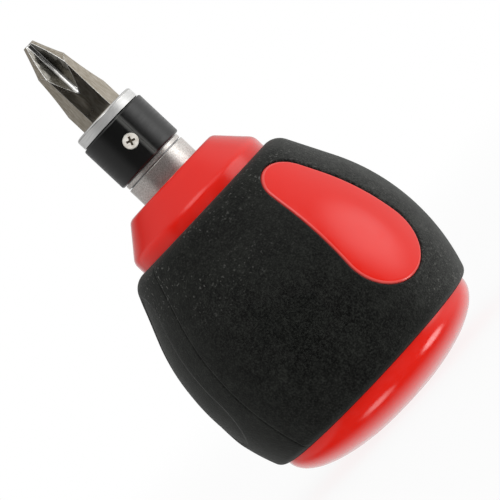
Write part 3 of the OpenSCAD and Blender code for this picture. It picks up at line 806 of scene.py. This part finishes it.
MATERIALS = {
    "black_rubber": rubber(),
    "red_plastic": red_plastic("red_plastic", (0.71, 0.009, 0.003), (0.78, 0.013, 0.005)),
    "black_collar": satin_black(),
    # The screw's head is a matt pale colour clouded darker: a painted reflection in place of bright
    # steel.
    "screw_steel": matt(
        "screw_steel", ((0.36, 0.32, 0.25), (1.0, 0.99, 0.94)), (0.3, 0.45), 1300
    ),
    "bright_steel": steel(
        "bright_steel",
        ((0.6, 0.6, 0.59), (0.84, 0.84, 0.825)),
        (0.34, 0.46),
        ROUND_MARKS,
        metallic=0.6,
    ),
    "bit_steel": steel(
        "bit_steel", ((0.29, 0.25, 0.19), (0.48, 0.44, 0.375)), (0.26, 0.36), BLANK_MARKS
    ),
    "tool_steel": steel(
        "tool_steel", ((0.36, 0.36, 0.37), (0.46, 0.46, 0.47)), (0.35, 0.5), ROUND_MARKS
    ),
    "spring_steel": steel(
        "spring_steel", ((0.5, 0.5, 0.5), (0.62, 0.62, 0.62)), (0.25, 0.35), ROUND_MARKS
    ),
    "magnet": steel(
        "magnet", ((0.62, 0.62, 0.62), (0.72, 0.72, 0.72)), (0.15, 0.25), ROUND_MARKS
    ),
    "bronze": steel(
        "bronze", ((0.5, 0.33, 0.14), (0.62, 0.44, 0.22)), (0.35, 0.5), ROUND_MARKS
    ),
}
# Dark steel for the flutes: painted shade in these hollows.
FLUTE_SHADE_STEEL = steel(
    "flute_painted_shade_steel", ((0.12, 0.113, 0.095), (0.27, 0.26, 0.235)), (0.16, 0.26), LENGTH_MARKS, 0.2
)
# Bright steel for eased edges: partly wear, partly painted highlight.
EDGE_WEAR_HIGHLIGHT_STEEL = steel(
    "edge_wear_highlight_steel", ((0.5, 0.49, 0.47), (0.78, 0.775, 0.75)), (0.18, 0.28), LENGTH_MARKS, 0.1
)
NECK_STEEL = steel(
    "neck_steel",
    ((0.46, 0.43, 0.395), (0.8, 0.78, 0.75)),
    (0.3, 0.42),
    NECK_MARKS,
    strength=0.08,
    metallic=0.85,
)
# Paler red for the window's rounded edge, a painted highlight.
RIM_HIGHLIGHT_RED = red_plastic("painted_rim_highlight_red", (0.72, 0.03, 0.024), (0.82, 0.12, 0.105))
# Dark brown for the screw's recess: painted shade.
RECESS_SHADE = matt("recess_painted_shade", ((0.02, 0.014, 0.008), (0.16, 0.125, 0.08)), (0.6, 0.7), 2500)


def dress(obj, *materials):
    """Gives an object its materials, in the order of its material slots."""
    obj.data.materials.clear()
    for material in materials:
        obj.data.materials.append(material)


# Pieces

slots = {s["node"]: s["material_slot"] for s in frame["record"]["subparts"]}
for node, obj in frame["nodes"].items():
    dress(obj, MATERIALS[slots[node]])

dress(make_grip(), MATERIALS["black_rubber"])
dress(make_cap(), MATERIALS["red_plastic"])

# The window's rounded edge is painted pale red, a painted highlight along its rim.


def on_window_edge(point):
    """True on the rounding between the window's face and the rubber."""
    r = math.hypot(point.x, point.y)
    turn = math.atan2(point.x, -point.y) - math.radians(WINDOW_ANGLE)
    off = drop_distance(r * math.sin(turn), point.z)[0]
    return -WINDOW_GAP - WINDOW_ROUND < off < 0 and r > skin_r(point.z, 2 * WINDOW_ROUND)


core = make_core()
dress(core, MATERIALS["red_plastic"], RIM_HIGHLIGHT_RED)
paint(core, 1, on_window_edge)

# The bit has a rounded, polished bottom in each flute, tighter in the two flutes that run out on a
# corner of the hexagon. Its eased edges and flute bottoms are painted bright steel, partly wear and
# partly painted highlight, and the rest of each flute is painted dark steel as painted shade.

FLUTE_FILLET = 0.5
CORNER_SHARE = 0.3
BIT_EDGE = 0.07
FACE_EDGE = 0.03
HEX_FLATS = 6.35
POINT_R = 1.04
POINT_ANGLE = math.radians(25)
FLUTE_DEPTH = 0.04
FLUTE_LEN = 12
SHARP_ANGLE = 70
END_SKIN = 0.01


def bit_edge_share(edge):
    """Share of the flute's fillet that an edge gets; a hollow edge has a negative angle."""
    angle = math.degrees(edge.calc_face_angle_signed())
    if angle > 0:
        return (BIT_EDGE if angle > SHARP_ANGLE else FACE_EDGE) / FLUTE_FILLET
    across = max(abs(vert.co.x) / MM for vert in edge.verts)
    return 1.0 if across < SKIN else CORNER_SHARE


def in_flute(point):
    """True below the skin of the blank, in the front of the bit and off its end face."""
    flats = max(
        point.x * math.sin(math.radians(a)) - point.y * math.cos(math.radians(a))
        for a in range(0, 360, 60)
    )
    cone = POINT_R + (BIT_TIP - point.z) * math.tan(POINT_ANGLE)
    below = max(flats - HEX_FLATS / 2, math.hypot(point.x, point.y) - cone)
    return below < -FLUTE_DEPTH and BIT_TIP - FLUTE_LEN < point.z < BIT_TIP - END_SKIN


bit = eased_piece("insert_bit", "bit", FLUTE_FILLET, bit_edge_share)
dress(bit, MATERIALS["bit_steel"], EDGE_WEAR_HIGHLIGHT_STEEL, FLUTE_SHADE_STEEL)
bit.modifiers["ease"].material = 1
paint(bit, 2, in_flute)

# The collar's screw has a round-edged head, its recess painted dark as painted shade.

SCREW_Z = (COLLAR_LOW.z + COLLAR_HIGH.z) / 2
RECESS_R = 0.96
SCREW_EASE = 0.2
RECESS_SHARE = 0.2
SCREW_TURN = 22.0
HEAD_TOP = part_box("selector_screw")[0].y / MM


def from_screw(point):
    """Distance of a point from the screw's axis."""
    return math.hypot(point.x, point.z - SCREW_Z)


def screw_edge_share(edge):
    """Share of the screw's ease that an edge gets: less in the recess than on the head."""
    middle = (edge.verts[0].co + edge.verts[1].co) / 2 / MM
    return 1.0 if from_screw(middle) > RECESS_R else RECESS_SHARE


def in_recess(point):
    """True below the top of the head, near the screw's axis."""
    return point.y > HEAD_TOP + SKIN and from_screw(point) < RECESS_R


collar = eased_piece("collar", "selector_collar", 0.0)
dress(collar, MATERIALS["black_collar"])
shade_round(collar, COLLAR_HIGH.x)

screw = eased_piece(
    "collar_screw", "selector_screw", SCREW_EASE, screw_edge_share
)
dress(screw, MATERIALS["screw_steel"], RECESS_SHADE)
paint(screw, 1, in_recess)
to_screw = Matrix.Translation((0, 0, SCREW_Z * MM))
screw.data.transform(
    to_screw @ Matrix.Rotation(math.radians(SCREW_TURN), 4, "Y") @ to_screw.inverted()
)

# The last material of each of these lies on its eased edges; the ring's is bright edge steel,
# partly wear and partly painted highlight.

for name, node, ease, materials in (
    ("front_ring_spindle", "spindle", 0.08, (MATERIALS["bright_steel"], EDGE_WEAR_HIGHLIGHT_STEEL)),
    ("washer_band", "thrust_washer", 0.07, (NECK_STEEL,)),
    ("neck", "ferrule", 0.1, (NECK_STEEL,)),
):
    obj = eased_piece(name, node, ease)
    dress(obj, *materials)
    obj.modifiers["ease"].material = len(materials) - 1

# Each pawl's coil is a fixed copy of its spring's mesh, shown in place of the CAD node.

for node, pawl in (("pawl_spring_a", "pawl_a"), ("pawl_spring_b", "pawl_b")):
    coil = bpy.data.objects.new(f"{pawl}_coil", frame["nodes"][node].data.copy())
    bpy.context.scene.collection.objects.link(coil)
    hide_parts(node)
    dress(coil, MATERIALS[slots[node]])
    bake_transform(coil)


# Floor, light and camera

# Floor, in metres: it goes from a share of white to full white between two distances.
FLOOR_SIZE = 6.0
FLOOR_SHADE = (0.1, 0.5)
FLOOR_WHITE = (0.88, 1.0)

# Name, place and size in metres, and power in watts of each lamp
LAMP_AIM = Vector((0, 0, 0.03))
LAMPS = (
    ("key", (0.5, -0.3, 0.25), (0.35, 0.5), 0.6),
    ("front", (0.1, -0.9, 0.12), (0.5, 0.2), 0.6),
    ("top", (0.05, -0.1, 0.7), (0.4, 0.4), 0.3),
)

# View of the photograph: its width in pixels, millimetres for each pixel, height at its middle in
# millimetres, pixels from that middle to the axis, roll and pitch
PHOTO_PIXELS = 500
PIXEL = 0.143
CENTRE_Z = 31.0
AXIS_OFF = 1.85
TILT = math.radians(43.08)
PITCH = math.radians(1.3)

# Camera: distance and range in metres, sensor in millimetres
CAMERA_AWAY = 0.5
CLIP_RANGE = (0.01, 20.0)
SENSOR = 36.0


def make_floor():
    """White floor for the camera that keeps a faint shadow near the tool."""
    mesh = bpy.data.meshes.new("floor")
    half = FLOOR_SIZE / 2
    mesh.from_pydata(
        [(-half, -half, 0), (half, -half, 0), (half, half, 0), (-half, half, 0)],
        [],
        [(0, 1, 2, 3)],
    )
    floor = bpy.data.objects.new("floor", mesh)
    bpy.context.scene.collection.objects.link(floor)
    floor.visible_glossy = False
    floor.visible_diffuse = False
    t = Tree("pale_floor")
    t.finish(Base_Color=(0.86, 0.86, 0.86), Roughness=0.9)
    rays = t.add("ShaderNodeLightPath")
    white = t.add("ShaderNodeEmission", {"Color": (1, 1, 1, 1), "Strength": 1.0})
    away = t.add("ShaderNodeVectorMath", {0: t.place()}, operation="LENGTH")
    far = t.spread(away.outputs["Value"], *FLOOR_SHADE, *FLOOR_WHITE)
    share = t.math("MULTIPLY", rays.outputs["Is Camera Ray"], far)
    mix = t.add(
        "ShaderNodeMixShader",
        {0: share, 1: t.shader.outputs[0], 2: white.outputs[0]},
    )
    t.tree.links.new(mix.outputs[0], t.tree.nodes["Material Output"].inputs["Surface"])
    dress(floor, t.material)


def make_world():
    """White behind the tool for the camera, a soft tent for diffuse light, and for reflections a
    dark room with bright fields."""
    world = bpy.data.worlds.new("studio")
    bpy.context.scene.world = world
    world.use_nodes = True
    tree = world.node_tree
    tree.nodes.clear()

    def add(kind, inputs=(), **settings):
        """A new node of the world."""
        return add_node(tree, kind, inputs, **settings)

    coord = add("ShaderNodeTexCoord")

    def lobe(direction, inner, outer, high, low=0.0):
        """Brightness that falls from high to low between two angles off a direction."""
        dot = add(
            "ShaderNodeVectorMath",
            {0: coord.outputs["Generated"], 1: Vector(direction).normalized()},
            operation="DOT_PRODUCT",
        )
        ramp = add(
            "ShaderNodeMapRange",
            {
                0: dot.outputs["Value"],
                1: math.cos(math.radians(outer)),
                2: math.cos(math.radians(inner)),
                3: low,
                4: high,
            },
            interpolation_type="SMOOTHSTEP",
        )
        return ramp.outputs[0]

    def total(lobes, level):
        """The sum of a level and some lobes."""
        for one in lobes:
            level = add("ShaderNodeMath", {0: level, 1: lobe(*one)}, operation="ADD").outputs[0]
        return level

    soft = total([((0, -0.2, -1), 20, 95, 0.25)], lobe((1, -0.2, 0), 20, 120, 0.9, 0.74))
    level = total(
        [
            # Broad and soft: left, back left, back, beyond the bit
            ((-0.99, 0.1, 0.1), 34, 50, 0.4),
            ((-0.5, 0.75, 0.5), 20, 60, 0.1),
            ((0, 1, -0.1), 15, 55, 0.3),
            ((0, -0.1, 1), 15, 60, 0.55),
            # Narrow and bright: right, front right and front, the last two on the bit's side
            ((0.966, -0.26, 0.1), 4, 26, 1.55),
            ((0.5, -0.6, 0.62), 5, 22, 0.7),
            ((0, -0.65, 0.76), 6, 24, 2.2),
            # On the dome's side: back, right, straight behind the dome
            ((0, 0.87, -0.5), 5, 50, 0.68),
            ((0.58, 0, -0.81), 3, 14, 6.5),
            ((-0.19, -0.07, -0.98), 3, 14, 3.5),
        ],
        lobe((0.95, 0.3, 0.1), 10, 66, 1.0, 0.035),
    )
    rays = add("ShaderNodeLightPath")
    lit = add(
        "ShaderNodeMix", {0: rays.outputs["Is Glossy Ray"], 2: soft, 3: level}, data_type="FLOAT"
    )
    strength = add(
        "ShaderNodeMix",
        {0: rays.outputs["Is Camera Ray"], 2: lit.outputs[0], 3: 1.0},
        data_type="FLOAT",
    )
    back = add(
        "ShaderNodeBackground", {"Color": (1, 1, 1, 1), "Strength": strength.outputs[0]}
    )
    out = add("ShaderNodeOutputWorld")
    tree.links.new(back.outputs[0], out.inputs["Surface"])


def lamp(name, place, size, power):
    """A lamp that neither the camera nor a reflection shows, aimed at the handle."""
    light = bpy.data.lights.new(name, "AREA")
    light.shape = "RECTANGLE"
    light.size, light.size_y = size
    light.energy = power
    obj = bpy.data.objects.new(name, light)
    bpy.context.scene.collection.objects.link(obj)
    obj.location = place
    obj.rotation_euler = (LAMP_AIM - Vector(place)).to_track_quat("-Z", "Y").to_euler()
    obj.visible_camera = False
    obj.visible_glossy = False


def make_camera():
    """The photograph's view: nearly square on to the axis, rolled so that the bit is up left."""
    data = bpy.data.cameras.new("camera")
    data.sensor_width = SENSOR
    data.lens = SENSOR * CAMERA_AWAY / (PHOTO_PIXELS * PIXEL * MM)
    data.clip_start, data.clip_end = CLIP_RANGE
    camera = bpy.data.objects.new("camera", data)
    bpy.context.scene.collection.objects.link(camera)
    across = Vector((1, 0, 0))
    along = Vector((0, math.sin(PITCH), math.cos(PITCH)))
    back = across.cross(along)
    right = across * math.sin(TILT) - along * math.cos(TILT)
    up = across * math.cos(TILT) + along * math.sin(TILT)
    turn = Matrix((right, up, back)).transposed()
    centre = Vector((AXIS_OFF * PIXEL * MM, 0, CENTRE_Z * MM))
    camera.matrix_world = Matrix.Translation(centre + back * CAMERA_AWAY) @ turn.to_4x4()
    bpy.context.scene.camera = camera


make_floor()
make_world()
for values in LAMPS:
    lamp(*values)
make_camera()
bpy.context.scene.view_settings.view_transform = "Standard"
